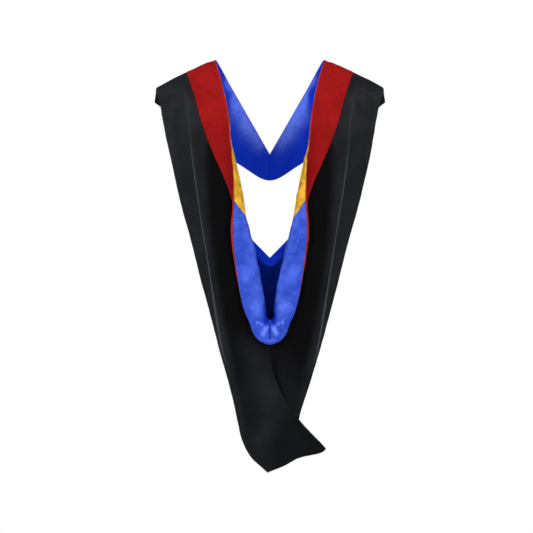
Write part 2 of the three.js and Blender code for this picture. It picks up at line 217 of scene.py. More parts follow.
# Control points across a section, counted from the neck edge to the hem
EDGE, LAYER, PLEAT, FOLD, HEM = 0, 4, 6, 9, 12
LAPEL_END = len(section_rows) - 1
ROWS_END = len(section_rows) + len(tail_rows) - 1
CLOSED_HEM = 9  # first row whose hem lies on the centre line
VELVET_START = 1  # the velvet is as wide as the panel down to this row
FOOT_FROM = 10  # row below which the foot of the opening takes its round form
NICK_FROM = 14  # row below which the tail's nick shows

# Where each fold, light or shade runs: each measure that it follows, with its start, its end and the
# length of its soft ramps. None leaves an end open.
spans = {
    "panel_folds": [("rows", 3.2, None, 1.4)],
    "lapel": [("columns", None, 3.1, 1)],
    "foot_folds": [("rows", 11.2, None, 0.4)],
    "pinch": [("height", *mm(-684, -640, 16))],
    "upper_gathers": [("out", *mm(3, 33, 5))],
    "foot_edge": [("columns", None, 2, 2)],
    "foot_roll": [("columns", 2, 5, 1)],
    "foot_fullness": [("columns", None, 2, 2), ("height", None, -632 * MM, 24 * MM)],
    "neck": [("rows", None, 2.9, 1)],
    "cap_folds": [("rows", 3.1, 5.4, 0.8), ("columns", 5.2, 8.6, 0.8)],
    "shoulder_ridge": [("rows", 2.3, 3.7, 0.8), ("columns", 2.5, 8, 3)],
    "pressed_line": [("rows", 3.7, 12.4, 1.2)],
    "sharp_line": [("rows", 6, 13, 1.5)],
    "back_seam": [("rows", 12.3, 17, 0.5)],
    "facing": [("to_hem", None, facing_width, 2 * MM), ("rows", 4.5, 12, 0.5)],
    "overlap": [("rows", 12.9, 16.6, 0.8)],
    "valley": [("rows", 12.9, 16.6, 0.8)],
    "in_bag": [("rows", 6.5, None, 1.5), ("columns", FOLD + 0.5, None, 1)],
    "below_facing": [("to_hem", facing_width, None, 8 * MM)],
    "deep_in_bag": [("rows", 9.9, None, 1.9)],
    "front_shade": [("rows", None, 3.2, 1)],
    "front_painted_highlight": [("rows", None, 2.9, 0.8)],
    "neck_point": [("rows", 2.3, 3.6, 0.8)],
    "gap_shade": [("height", *mm(-644, -590, 20))],
    "gap_side": [("columns", None, 5, 1)],
    "foot_shade": [("height", None, -622 * MM, 16 * MM)],
    "pinch_shade": [("height", *mm(-680, -642, 10))],
    "painted_tail_sheen": [("rows", 12.7, None, 1.4)],
    "tail_light": [("height", *mm(-1000, -676, 60))],
    "behind_cap": [("columns", FOLD + 0.5, None, 0.6), ("rows", 2, 5, 0.8)],
    "cap_painted_sheen": [("rows", 2.6, 4.9, 0.6), ("columns", 5, 10, 0.6)],
    "beside_ridge": [("rows", 12.4, 16.4, 0.8)],
}

# Swells, dips and shades: the measure that each follows, its middle, its width and its height. Each
# runs where the spans of its own name say, or everywhere.
swells = {
    "pinch": ("out", 0, 3.2 * MM, -3.5 * MM),
    "lower_gathers": ("out", 0, 11 * MM, 1),
    "foot_edge": ("height", *mm(-660, 13, 4.5)),
    "foot_roll": ("height", *mm(-626, 12, 5.0)),
    "foot_fullness": ("out", *mm(29, 13, 7.5)),
    "neck_roll": ("from_edge", *mm(26, 20, -4.5)),
    "velvet_seam": ("from_seam", 0, 2.4 * MM, -0.8 * MM),
    "back_seam": ("from_layer", 0, 2.6 * MM, -0.9 * MM),
    "front_seam": ("out", 0, 2.4 * MM, -0.7 * MM),
    "overlap": ("from_layer", *mm(3, 7, 2.6)),
    "valley": ("from_layer", *mm(9, 7, -4.6)),
    "gap_shade": ("out", 9 * MM, 7 * MM, 0.9),
    "pinch_shade": ("out", 0, 1.6 * MM, 0.85),
    # painted shadow on the right layer, beside the ridge that the left layer laps over
    "beside_ridge": ("from_layer", 6 * MM, 13 * MM, 0.95),
    "neck_edge": ("from_edge", 0, 1.8 * MM, 1),
}

# Soft unrest: how far apart its folds are, the seed it is drawn from, and its height
unrests = {
    "panel_slow": (mm(55, 90, 240), 3, 1.5 * MM),
    "panel_fine": (34 * MM, 5, 0.35 * MM),
    "lapel_slow": (52 * MM, 11, 2.0 * MM),
    "lapel_fine": (21 * MM, 12, 0.6 * MM),
    "neck": (60 * MM, 21, -1.2 * MM),
    "neck_point": (22 * MM, 31, 0.5),
    "front_strength": (40 * MM, 33, 0.1),
    "front_light": (60 * MM, 34, 6 * MM),
}

BEHIND = np.array([0.0, -1.0, 0.0])
UP = np.array([0.0, 0.0, 1.0])


def place(x, y, z, side):
    """Point from the shares in a table: side is 1 on the left and -1 on the right"""
    return np.array([-side * x * half_span, y * (chest_reach if y > 0 else back_reach), -z * drop])


def towards(start, end):
    return (end - start) / np.linalg.norm(end - start)


def mix(a, b, share):
    return a + (b - a) * share


def hump(distance, width):
    return np.exp(-((distance / width) ** 2))


def fold_points(fold, in_front, in_back, crease):
    """The three points that round a side fold"""
    a, b = towards(fold, in_front), towards(fold, in_back)
    reach = min(
        fold_radius,
        np.linalg.norm(in_front - fold) / fold_front_part,
        np.linalg.norm(in_back - fold) / fold_back_part,
    )
    lift = reach * crease * BEHIND
    return [fold + a * reach + lift, fold, fold + b * reach - lift]


def layer_points(start, fold_front, bulge, pleat_at, pleat):
    """The outer layer from its inner end to the side fold: a rounded chord with a pleat"""
    shares = [(1 + pleat_at) / 2, pleat_at, pleat_at / 2]
    lifts = [-pleat / 2, pleat, -pleat / 2]
    return [
        mix(fold_front, start, share) + (bulge * 4 * share * (1 - share) + lift) * BEHIND
        for share, lift in zip(shares, lifts)
    ]


def section_points(values, side):
    s = dict(zip(section_columns, values))
    edge = place(s["edge_x"], s["edge_y"], s["edge_z"], side)
    fold = place(s["fold_x"], s["fold_y"], s["fold_z"], side)
    hem = place(s["hem_x"], s["hem_y"], s["hem_z"], side)
    roll = place(s["roll_x"], s["layer_y"], s["roll_z"], side)
    along = towards(edge, fold)
    outward = along
    if s["turn"]:
        outward = (edge - roll) * [1, 0, 1]
        outward = outward / (np.linalg.norm(outward) or 1)
    flat = [edge + along * flat_lapel * share for share in (0, 0.25, 0.5, 0.75, 1)]
    radius = min(roll_radius, np.linalg.norm(roll - edge) / roll_part)
    top = roll + outward * radius + BEHIND * 2 * radius
    puff = min(lapel_puff, np.linalg.norm(top - edge) / puff_part)
    turned = [
        edge,
        mix(edge, top, 0.5) + BEHIND * puff,
        top,
        roll + BEHIND * radius,
        roll + outward * radius,
    ]
    lapel = [mix(a, b, s["turn"]) for a, b in zip(flat, turned)]
    creases = fold_points(fold, lapel[LAYER], hem, s["crease"])
    layer = layer_points(
        lapel[LAYER], creases[0], layer_bulge * s["crease"], s["pleat_at"], pleat_height * s["pleat"]
    )
    return [*lapel, *layer, *creases, mix(creases[2], hem, 0.5), hem]


def tail_points(values, side):
    s = dict(zip(tail_columns, values))
    seam = place(-s["seam_x"], s["seam_y"], s["seam_z"], 1)
    back = place(-s["back_x"], s["back_y"], s["back_z"], 1)
    own = "left" if side > 0 else "right"
    fold = place(-s[own + "_x"], s[own + "_y"], s[own + "_z"], 1)
    puff = layer_bulge * s["puff_" + own]
    folded = side > 0 or s["puff_right"] > 0
    creases = fold_points(fold, seam, back, s["crease"] * folded)
    lift = BEHIND * (ridge_lift if puff > 0 else ridge_sink)
    ridge = seam + towards(seam, creases[0]) * ridge_round + lift
    sag = ridge_round * s["sag"] if side > 0 else 0
    layer = layer_points(seam, creases[0], puff, 0.5, 0)
    layer[0] = ridge - UP * sag
    layer[1] = layer[1] + UP * sag
    unused = [np.full(3, np.nan)] * LAYER
    return [*unused, seam, *layer, *creases, mix(creases[2], back, 0.5), back]


def panel_controls(side):
    upper = [section_points(values, side) for values in section_rows]
    lower = [tail_points(values, side) for values in tail_rows]
    return np.array(upper + lower)


controls = {"left": panel_controls(1), "right": panel_controls(-1)}
other_side = {"left": "right", "right": "left"}


def cubic(a, b, c, d, share):
    """Point a share of the way from b to c on the smooth curve through all four"""

    def reach(p, q):
        return np.sqrt(np.maximum(np.linalg.norm(q - p, axis=-1, keepdims=True), 1e-9))

    t1 = reach(a, b)
    t2 = t1 + reach(b, c)
    t3 = t2 + reach(c, d)
    at = t1 + (t2 - t1) * share
    ab = mix(a, b, at / t1)
    bc = mix(b, c, (at - t1) / (t2 - t1))
    cd = mix(c, d, (at - t2) / (t3 - t2))
    found = mix(mix(ab, bc, at / t2), mix(bc, cd, (at - t1) / (t3 - t1)), (at - t1) / (t2 - t1))
    return np.where(share == 0, b, np.where(share == 1, c, found))


def control_curves(side, rows):
    """Every control column of a panel at many rows"""
    table = controls[side]
    low = np.minimum(rows.astype(int), ROWS_END - 1)
    share = (rows - low)[:, None, None]
    column = np.arange(HEM + 1)[None, :, None]
    at = low[:, None, None]
    b, c = table[low], table[low + 1]
    afresh = (at == 0) | (column <= LAYER) & (at == LAPEL_END) | (column == HEM) & (at == CLOSED_HEM)
    before = np.where(afresh, 2 * b - c, table[np.maximum(low - 1, 0)])
    before = np.where((at == 0) & (column > LAYER), c * [-1, 1, 1], before)
    after = np.where(at + 2 > ROWS_END, 2 * c - b, table[np.minimum(low + 2, ROWS_END)])
    mirrored = (column <= LAYER) & (at + 1 == LAPEL_END)
    after = np.where(mirrored, b * [-1, 1, 1], after)
    closing = (column == HEM) & (at + 1 == CLOSED_HEM)
    after = np.where(closing, 2 * c - b, after)
    return cubic(before, b, c, after, share)


def surface(side, rows, columns):
    """Points of a panel's middle surface, for a list of rows and each row's own list of columns"""
    own, other = control_curves(side, rows), control_curves(other_side[side], rows)
    low = np.minimum(columns.astype(int), HEM - 1)

    def pick(table, column):
        return np.take_along_axis(table, column[:, :, None], axis=1)

    at = low[:, :, None]
    share = (columns - low)[:, :, None]
    row = rows[:, None, None]
    b, c = pick(own, low), pick(own, low + 1)
    before = np.where(at > EDGE, pick(own, np.maximum(low - 1, 0)), 2 * b - c)
    across_seam = pick(other, np.full_like(low, LAYER + 1))
    before = np.where((row >= LAPEL_END) & (at == LAYER), across_seam, before)
    last = (at + 1 == HEM) | (row >= LAPEL_END) & (at + 1 == LAYER)
    after = np.where(last, 2 * c - b, pick(own, np.minimum(low + 2, HEM)))
    across_hem = pick(other, np.full_like(low, HEM - 1))
    after = np.where((row >= CLOSED_HEM) & (at + 1 == HEM), across_hem, after)
    return cubic(before, b, c, after, share)


def table_value(name, rows):
    """A value of the first table at many rows"""
    values = [row[section_columns.index(name)] for row in section_rows]
    return np.interp(rows, range(LAPEL_END + 1), values)


def velvet_columns(side, rows):
    """Column at which the velvet ends in each row, by its width across the panel"""
    steps = 32 * HEM
    columns = np.tile(np.linspace(0, HEM, steps + 1), (len(rows), 1))
    upper = np.minimum(rows, LAPEL_END)
    points = surface(side, upper, columns)
    nearby = 0.1
    ahead = surface(side, np.minimum(upper + nearby, LAPEL_END), columns)
    before = surface(side, np.maximum(upper - nearby, 0), columns)
    along = (ahead - before)[:, 1:]
    along /= np.linalg.norm(along, axis=-1, keepdims=True)
    wide = np.linalg.norm(np.cross(np.diff(points, axis=1), along), axis=-1)
    width = np.concatenate([np.zeros((len(rows), 1)), wide.cumsum(axis=1)], axis=1)
    shown = velvet_width - velvet_tuck * table_value("turn", upper)
    shown = shown - velvet_ease * hump(upper - ease_row, ease_spread)
    return np.array([np.interp(s, w, columns[0], right=HEM) for s, w in zip(shown, width)])


# Grid of each panel: steps for each row of the tables, and columns between the stops of a section
upper_steps, foot_steps, tail_steps = 24, 40, 16
column_steps = [28, 10, 12, 10, 16, 14, 34]
seam_easing = 14  # grid rows over which the velvet's seam is smoothed
seam_least, seam_most = LAYER + 0.4, HEM - 0.5  # columns between which the velvet's seam is kept
foot_before, foot_after = 0.4, 0.6  # rows over which that seam closes in on the foot and leaves it

# Columns kept between a seam, the pressed line and the side fold, as shares of the cloth left over
after_seam, before_fold, after_fold = 0.05, 0.3, 0.6
line_half, line_half_share = 0.2, 0.03  # finer columns on both sides of the pressed line
beside_line, beside_line_share = 0.4, 0.2
SEAM_AT = column_steps[0] + column_steps[1]
LAYER_AT = column_steps[0]

upper_rows = np.arange((LAPEL_END - 1) * upper_steps) / upper_steps
foot_rows = LAPEL_END - 1 + np.arange(foot_steps) / foot_steps
lower_rows = LAPEL_END + np.arange((ROWS_END - LAPEL_END) * tail_steps + 1) / tail_steps
grid_rows = np.concatenate([upper_rows, foot_rows, lower_rows])


def line_columns():
    """Column of the pressed line in every grid row"""
    return PLEAT + np.interp(grid_rows, line_rows, line_shift)


def grid_columns(side):
    """The columns of every grid row, which follow the velvet's seam, the pressed line and the folds"""
    seam = np.maximum(velvet_columns(side, grid_rows), seam_least)
    seam = np.where(grid_rows < VELVET_START, np.interp(VELVET_START, grid_rows, seam), seam)
    window = np.hanning(2 * seam_easing + 3)[1:-1]
    eased = np.convolve(np.pad(seam, seam_easing, "edge"), window / window.sum(), "valid")
    foot = LAPEL_END - foot_before
    seam = np.where((grid_rows > 2) & (grid_rows < foot), eased, seam)
    narrowing = [np.interp(foot, grid_rows, seam), LAYER + 0.1, LAYER + 1]
    last = np.interp(grid_rows, [foot, LAPEL_END, LAPEL_END + foot_after], narrowing)
    seam = np.where(grid_rows > foot, last, seam)
    end = np.minimum(seam, seam_most)
    rest = HEM - end
    crease = np.maximum(line_columns(), end + after_seam * rest)
    near = np.minimum(line_half, line_half_share * rest)
    beside = crease + np.minimum(beside_line, beside_line_share * rest)
    stops = [
        np.zeros_like(end),
        np.full_like(end, LAYER),
        end,
        crease - near,
        crease + near,
        np.maximum(np.maximum(FOLD - 1, beside), end + before_fold * rest),
        np.maximum(FOLD + 1, end + after_fold * rest),
        np.full_like(end, HEM),
    ]
    columns = []
    for count, low, high in zip(column_steps, stops, stops[1:]):
        columns += [mix(low, high, i / count) for i in range(count)]
    return np.stack([*columns, stops[-1]], axis=1), seam


def fade(values, start, end, ramp):
    """1 between start and end, and 0 outside, with a soft ramp on both sides"""
    rise = 1 if start is None else np.clip((values - start) / ramp + 0.5, 0, 1)
    fall = 1 if end is None else np.clip((end - values) / ramp + 0.5, 0, 1)
    share = np.minimum(rise, fall)
    return share * share * (3 - 2 * share)


def within(grid, name):
    """1 where the named fold, light or shade runs, and 0 outside, with soft ramps"""
    share = 1
    for measure, start, end, ramp in spans.get(name, ()):
        share = share * fade(grid[measure], start, end, ramp)
    return share


def swell(grid, name):
    """A swell, dip or shade by its line of the table, held within the spans of its own name"""
    measure, middle, width, height = swells[name]
    return height * hump(grid[measure] - middle, width) * within(grid, name)


def low_share(grid):
    """1 near the foot of the opening and below it, and 0 above"""
    return grid["rows"] > FOOT_FROM


def ripple(points, seed):
    """Soft even unrest of a surface, from -1 to 1, with folds about one unit of the points apart"""
    random = np.random.default_rng(seed)
    total = np.zeros(points.shape[:-1])
    waves, gain = 7, 1.8
    for _ in range(waves):
        direction = random.normal(size=3)
        direction *= 2 * math.pi / np.linalg.norm(direction)
        stretch = random.uniform(0.7, 1.4)
        total += np.sin(points @ direction * stretch + random.uniform(0, 2 * math.pi))
    return total / waves * gain


def near_line(grid, line, width, past_ends=0, ramp=0.5):
    """How near each point is to a line on the back of the hood, seen from behind, 0 to 1"""
    start, end = np.array(line)
    length = np.linalg.norm(end - start)
    along = (end - start) / length
    away = np.stack([grid["out"], grid["height"]], axis=-1) - start
    share = away @ along / length
    beside = away[..., 0] * along[1] - away[..., 1] * along[0]
    return hump(beside, width) * fade(share, -past_ends, 1 + past_ends, ramp)


def unrest(grid, name):
    """Soft even unrest by its line of the table"""
    size, seed, height = unrests[name]
    return height * ripple(grid["points"] / np.array(size), seed)


def gather(grid, name):
    """One wavy line of gathers"""
    height, slope, swing, length, turn, width = gather_lines[name]
    wave = swing * np.sin(2 * math.pi * (grid["out"] / length + turn))
    return hump(grid["height"] - height - slope * grid["out"] - wave, width)


def gathers(grid):
    """Fine gathers where the turned back edge is pinched, above the pillows and at the tip, 0 to 1"""
    upper = gather(grid, "upper") * within(grid, "upper_gathers")
    lower = gather(grid, "lower") * swell(grid, "lower_gathers")
    return (upper + lower) * low_share(grid)


def lapel_folds(grid):
    """Puffs of the turned back satin edge, and the pinched pillows and gathers at its foot"""
    on_lapel = table_value("turn", grid["rows"]) * within(grid, "lapel")
    puffs = unrest(grid, "lapel_slow") + unrest(grid, "lapel_fine")
    pinch = swell(grid, "pinch")
    pillow = pillow_height * near_line(grid, pillow_axis, pillow_width, past_ends=0.1)
    foot = (pillow + pinch) * within(grid, "foot_folds")
    return on_lapel * (puffs + foot + gather_height * gathers(grid))


def neck_puff(grid):
    """The lining of the front rolls softly over below the neck edge"""
    return (swell(grid, "neck_roll") + unrest(grid, "neck")) * within(grid, "neck")


def cap_folds(grid):
    """Soft folds that run down and outwards over the cap of each shoulder, 0 to 1"""
    total = 0
    for start, end, height in cap_lines:
        total = total + height * near_line(grid, (start, end), cap_fold_width)
    return total * within(grid, "cap_folds")


def shoulder_folds(grid):
    """The folds of the cap, and the rounded ridge of the shoulder"""
    return cap_fold_height * cap_folds(grid) + shoulder_ridge * within(grid, "shoulder_ridge")


def pressed_line(grid):
    """The sharp pressed line down each outer layer"""
    reach = within(grid, "pressed_line") * mix(soft_line, 1, within(grid, "sharp_line"))
    width = np.interp(grid["rows"], crease_rows, crease_width)
    return np.exp(-np.abs(grid["from_line"]) / width) * reach


def seams(grid):
    """Dips along the seam of the velvet and down the centre, and the step of the facing"""
    sewn = (grid["rows"] >= VELVET_START) & (grid["rows"] < LAPEL_END)
    velvet = swell(grid, "velvet_seam") * sewn
    back = swell(grid, "back_seam")
    front = swell(grid, "front_seam") * (grid["rows"] < 1)
    facing = -facing_step * within(grid, "facing") * (grid["columns"] > FOLD)
    return velvet + back + front + facing


def tail_overlap(grid):
    """The left layer laps over the right one along the ridge of the tail"""
    if grid["side"] == "left":
        nick = nick_height * near_line(grid, nick_line, nick_width, ramp=0.4) * (grid["rows"] > NICK_FROM)
        return swell(grid, "overlap") + nick * (grid["columns"] < FOLD)
    return swell(grid, "valley")


def across_distance(points):
    """Distance across the panel from the first point of each row"""
    steps = np.nan_to_num(np.linalg.norm(np.diff(points, axis=1), axis=-1))
    return np.concatenate([np.zeros((len(points), 1)), steps.cumsum(axis=1)], axis=1)


def front_light(grid):
    """The soft light along the neck edge on the lining of the front, from 0 to 1"""
    reach = np.interp(grid["rows"], light_rows, light_reach) * MM + unrest(grid, "front_light")
    ramp = np.interp(grid["rows"], ramp_rows, light_ramp)
    strength = np.interp(grid["rows"], light_rows, light_share)
    return strength * fade(grid["from_edge"], None, reach, ramp)


def hidden_share(grid):
    """How far the satin lies out of the light: inside the bag, and low on the front of the neck"""
    in_bag = mix(*facing_shade, within(grid, "below_facing"))
    in_bag = within(grid, "in_bag") * np.maximum(in_bag, within(grid, "deep_in_bag"))
    front = mix(*front_shade, front_light(grid)) * within(grid, "front_shade")
    patches = 0.5 + unrest(grid, "neck_point")
    neck_point = within(grid, "neck_point") * mix(*neck_point_shade, patches)
    return np.maximum.reduce([in_bag, front, neck_point])


def sunk_share(grid):
    """Painted shade on the satin in the gap beside the round foot, and in the pinch below it"""
    gap = swell(grid, "gap_shade") + foot_shade * within(grid, "foot_shade")
    pinch = swell(grid, "pinch_shade")
    return np.maximum(gap * within(grid, "gap_side"), pinch) * low_share(grid)


def lit_share(grid):
    """Painted highlight on the satin: by the neck edge in front, and on the puffs, pillows and gathers of the
    lapels
    """
    uneven = front_strength + unrest(grid, "front_strength")
    front = uneven * front_light(grid) * within(grid, "front_painted_highlight")
    puffs = near_line(grid, pillow_axis, pillow_light_width) + gather_light * gathers(grid)
    for out, width, height, tall, strength in puff_lights:
        puffs += strength * hump(grid["out"] - out, width) * hump(grid["height"] - height, tall)
    on_lapel = within(grid, "lapel") * (grid["rows"] > CLOSED_HEM)
    return np.maximum(front, on_lapel * np.minimum(puffs, 1))


def painted_cloth_light_share(grid):
    """Painted light and shade on the black cloth: most painted light outside the pressed line, painted shade
    by the lapel, behind each cap's side fold and beside the tail's ridge
    """
    inside = np.interp(grid["rows"], painted_sheen_rows, painted_sheen_inside) * MM
    outside = fade(grid["from_line"], -inside, None, painted_sheen_ramp)
    outside = outside * np.interp(grid["rows"], strength_rows, painted_sheen_strength)
    middle = np.interp(grid["height"], tail_light_z, tail_light_x)
    band = hump(grid["points"][..., 0] - middle, tail_light_width)
    tail = painted_tail_sheen * within(grid, "painted_tail_sheen") + tail_light * band * within(grid, "tail_light")
    painted_sheen = np.maximum(outside, tail) * (1 - cap_shade * within(grid, "behind_cap"))
    painted_sheen = painted_sheen * (1 + within(grid, "cap_painted_sheen") * (cap_light * cap_folds(grid) - cap_dim))
    if grid["side"] == "right":
        painted_sheen = painted_sheen * (1 - swell(grid, "beside_ridge"))
    return painted_sheen


def painted_edge_highlight_share(grid):
    """How near the cloth is to the turned neck edge, where the velvet has a painted highlight"""
    return swell(grid, "neck_edge")


# Measures that the materials read from the cloth
finish_measures = {
    "pressed": pressed_line,
    "shaded": hidden_share,
    "sunk": sunk_share,
    "lit": lit_share,
    "napped": painted_cloth_light_share,
    "rolled": painted_edge_highlight_share,
}


def hem_distance(points):
    """Distance of every point from the open hem"""
    hem = points[grid_rows <= CLOSED_HEM, -1]
    nearest = np.full(points.shape[:2], np.inf)
    for spot in hem:
        nearest = np.minimum(nearest, np.linalg.norm(points - spot, axis=-1))
    return nearest


def round_foot(points, rows, columns):
    """The turned back edges meet in a round foot, and the gap between them ends round too"""
    x, z = points[..., 0], points[..., 2]
    at = {"rows": rows, "columns": columns, "height": z}
    move = swell(at, "foot_edge") + swell(at, "foot_roll")
    x = x + np.sign(x) * move * (np.clip(np.abs(x) / centre_hold, 0, 1) * low_share(at))
    at["out"] = np.abs(x)
    drop_by = swell(at, "foot_fullness") * low_share(at)
    points[..., 0] = x
    points[..., 2] = z - drop_by


def panel_grid(side):
    """Points of one panel with the measures that its folds, seams and weave follow"""
    columns, seam = grid_columns(side)
    points = surface(side, grid_rows, columns)
    rows = np.tile(grid_rows[:, None], (1, columns.shape[1]))
    round_foot(points, rows, columns)
    points[grid_rows > LAPEL_END, :LAYER_AT] = np.nan
    across = across_distance(points)
    down = np.nan_to_num(np.linalg.norm(np.diff(points[:, LAYER_AT], axis=0), axis=-1))
    down = np.concatenate([[0], down.cumsum()])

    def distance_from(column):
        at = [np.interp(c, row, s) for c, row, s in zip(column, columns, across)]
        return across - np.array(at)[:, None]

    grid = {
        "side": side,
        "points": points,
        "out": np.abs(points[..., 0]),
        "height": points[..., 2],
        "rows": rows,
        "columns": columns,
        "from_line": distance_from(line_columns()),
        "from_seam": distance_from(np.minimum(seam, seam_most)),
        "from_layer": distance_from(np.full(len(grid_rows), LAYER)),
        "from_edge": across,
        "to_hem": hem_distance(points),
        "uv": np.stack([across, np.tile(down[:, None], (1, columns.shape[1]))], axis=-1),
    }
    for name, measured in finish_measures.items():
        grid[name] = measured(grid)
    return grid


grids = {side: panel_grid(side) for side in ("left", "right")}


def merge_panels():
    """One list of points for both panels, which share the points of their common seams"""
    flat = np.concatenate([grids[side]["points"].reshape(-1, 3) for side in grids])
    known = ~np.isnan(flat[:, 0])
    keys = np.round(flat[known] / same_point).astype(np.int64)
    _, first, index = np.unique(keys, axis=0, return_index=True, return_inverse=True)
    ids = np.full(len(flat), -1)
    ids[known] = index.ravel()
    shape = grids["left"]["columns"].shape
    for i, side in enumerate(grids):
        half = shape[0] * shape[1]
        grids[side]["ids"] = ids[i * half : (i + 1) * half].reshape(shape)
    return flat[known][first]


merged = merge_panels()


def panel_faces(side):
    """Corners of every face of a panel, with its row and column, turned to face out of the cloth"""
    ids = grids[side]["ids"]
    corners = np.stack([ids[:-1, :-1], ids[1:, :-1], ids[1:, 1:], ids[:-1, 1:]], axis=-1)
    if side == "left":
        corners = corners[..., ::-1]
    row, column = np.meshgrid(np.arange(len(ids) - 1), np.arange(ids.shape[1] - 1), indexing="ij")
    used = (corners >= 0).all(axis=-1)
    return corners[used], row[used], column[used]


faces = {side: panel_faces(side) for side in grids}


def point_normals(points):
    total = np.zeros_like(points)
    for corners, _, _ in faces.values():
        a, b, c, d = points[corners.T]
        normal = np.cross(c - a, d - b)
        for corner in corners.T:
            np.add.at(total, corner, normal)
    return total / np.linalg.norm(total, axis=-1, keepdims=True)


def folded_heights():
    """How far each merged point moves out of the panel, as the mean of what both panels ask"""
    total, count = np.zeros(len(merged)), np.zeros(len(merged))
    for grid in grids.values():
        height = (unrest(grid, "panel_slow") + unrest(grid, "panel_fine")) * within(grid, "panel_folds")
        for folds in (lapel_folds, shoulder_folds, seams, tail_overlap, neck_puff):
            height += folds(grid)
        height += pressed_crease * grid["pressed"]
        known = grid["ids"] >= 0
        np.add.at(total, grid["ids"][known], height[known])
        np.add.at(count, grid["ids"][known], 1)
    return total / count


cloth_points = merged + point_normals(merged) * folded_heights()[:, None]
cloth_normals = point_normals(cloth_points)
neck_row = {
    int(i): row
    for grid in grids.values()
    for i, row in zip(grid["ids"][:, 0], grid_rows)
    if row <= LAPEL_END
}


def outline_of(corners):
    """Edges of a piece's outline, each as its two points in the order of the faces"""
    edges = np.concatenate([np.stack([corners[:, i], corners[:, (i + 1) % 4]], axis=1) for i in range(4)])
    found = {(a, b) for a, b in edges.tolist()}
    return [(a, b) for a, b in edges.tolist() if a != b and (b, a) not in found]


def insets(outline, edge_inset):
    """The move of each point of an outline along the cloth: none at a seam, and a set one at the neck"""
    sides = {}
    for start, end in outline:
        along = towards(cloth_points[start], cloth_points[end])
        at_neck = start in neck_row and end in neck_row
        for point in (start, end):
            inward = np.cross(cloth_normals[point], along)
            inset = edge_inset(neck_row[point]) if at_neck else 0
            sides.setdefault(point, []).append((inward / np.linalg.norm(inward), inset))
    return {point: corner_move(*found[:2]) for point, found in sides.items()}


def halfway(first, second):
    """Direction between two"""
    total = first + second
    return total / max(np.linalg.norm(total), 1e-9)


def corner_move(first, second):
    """The move that lies inside both sides of a corner by each side's inset, and the way inwards"""
    sharpest, nearly_straight = -0.85, 0.9
    (a, inset_a), (b, inset_b) = first, second
    alike = max(float(a @ b), sharpest)
    if alike > nearly_straight:
        return (a * inset_a + b * inset_b) / (1 + alike), halfway(a, b)
    share_a = (inset_a - alike * inset_b) / (1 - alike * alike)
    share_b = (inset_b - alike * inset_a) / (1 - alike * alike)
    return a * share_a + b * share_b, halfway(a, b)


def on_vertices(side, measure, width, order):
    """A measure of a panel's grid at each vertex of a piece"""
    ids = grids[side]["ids"].ravel()
    values = np.zeros((len(cloth_points), width))
    values[ids[ids >= 0]] = grids[side][measure].reshape(-1, width)[ids >= 0]
    return values[order]


def new_object(name, data):
    made = bpy.data.objects.new(name, data)
    bpy.context.collection.objects.link(made)
    return made


def cloth(name, side, chosen, low, high, edge_inset, material):
    """A sheet with its two faces at two heights above the panel, and a rounded edge"""
    corners = faces[side][0][chosen]
    outline = outline_of(corners)
    moves = insets(outline, edge_inset)
    used = np.unique(corners)
    slot = np.full(len(cloth_points), -1)
    slot[used] = np.arange(len(used))
    count = len(used)
    points, normals = cloth_points[used], cloth_normals[used]
    top, bottom = points + normals * high, points + normals * low
    rim_points = list(moves)
    rim_slot = {point: 2 * count + i for i, point in enumerate(rim_points)}
    wall = high - low
    rim = []
    for point in rim_points:
        move, inward = moves[point]
        i = slot[point]
        tuck = inward * wall * rim_tuck
        rim.append(points[i] + normals[i] * (low + high) / 2 + move)
        top[i] += move + tuck
        bottom[i] += move + tuck
    vertices = np.concatenate([top, bottom, np.array(rim)])
    quads = slot[corners]
    polygons = quads.tolist() + (quads[:, ::-1] + count).tolist()
    for start, end in outline:
        a, b = int(slot[start]), int(slot[end])
        polygons.append([b, a, rim_slot[start], rim_slot[end]])
        polygons.append([rim_slot[end], rim_slot[start], a + count, b + count])
    mesh = bpy.data.meshes.new(name)
    mesh.from_pydata(vertices.tolist(), [], polygons)
    order = np.concatenate([used, used, np.array(rim_points)])
    loops = np.zeros(len(mesh.loops), dtype=np.int64)
    mesh.loops.foreach_get("vertex_index", loops)
    uv = on_vertices(side, "uv", 2, order)[loops]
    mesh.uv_layers.new(name="weave").data.foreach_set("uv", uv.ravel())
    for measure in finish_measures:
        values = on_vertices(side, measure, 1, order)
        mesh.attributes.new(measure, "FLOAT", "POINT").data.foreach_set("value", values.ravel())
    mesh.polygons.foreach_set("use_smooth", [True] * len(mesh.polygons))
    mesh.update()
    mesh.materials.append(material)
    return new_object(name, mesh)


def srgb(code):
    """Linear colour from an sRGB hex code"""
    shares = [int(code[i : i + 2], 16) / 255 for i in (0, 2, 4)]
    linear = [s / 12.92 if s <= 0.04045 else ((s + 0.055) / 1.055) ** 2.4 for s in shares]
    return (*linear, 1)


def add_node(tree, kind, inputs=(), **settings):
    """Adds a node, of the shader family unless its kind names another, with its settings and links.
    An input is a value, an output, or a node for its first live output. A tuple gives the first inputs."""
    node = tree.nodes.new(kind if "Node" in kind else "ShaderNode" + kind)
    for name, value in settings.items():
        setattr(node, name, value)
    given = enumerate(inputs) if isinstance(inputs, tuple) else inputs.items()
    for name, value in given:
        if isinstance(value, bpy.types.Node):
            value = next(output for output in value.outputs if output.enabled)
        if isinstance(value, bpy.types.NodeSocket):
            tree.links.new(value, node.inputs[name])
        else:
            node.inputs[name].default_value = value
    return node


def new_material(name):
    """A material with an empty tree, and the function that adds a node to it"""
    material = bpy.data.materials.new(name)
    material.use_nodes = True
    material.node_tree.nodes.clear()
    return material, partial(add_node, material.node_tree)


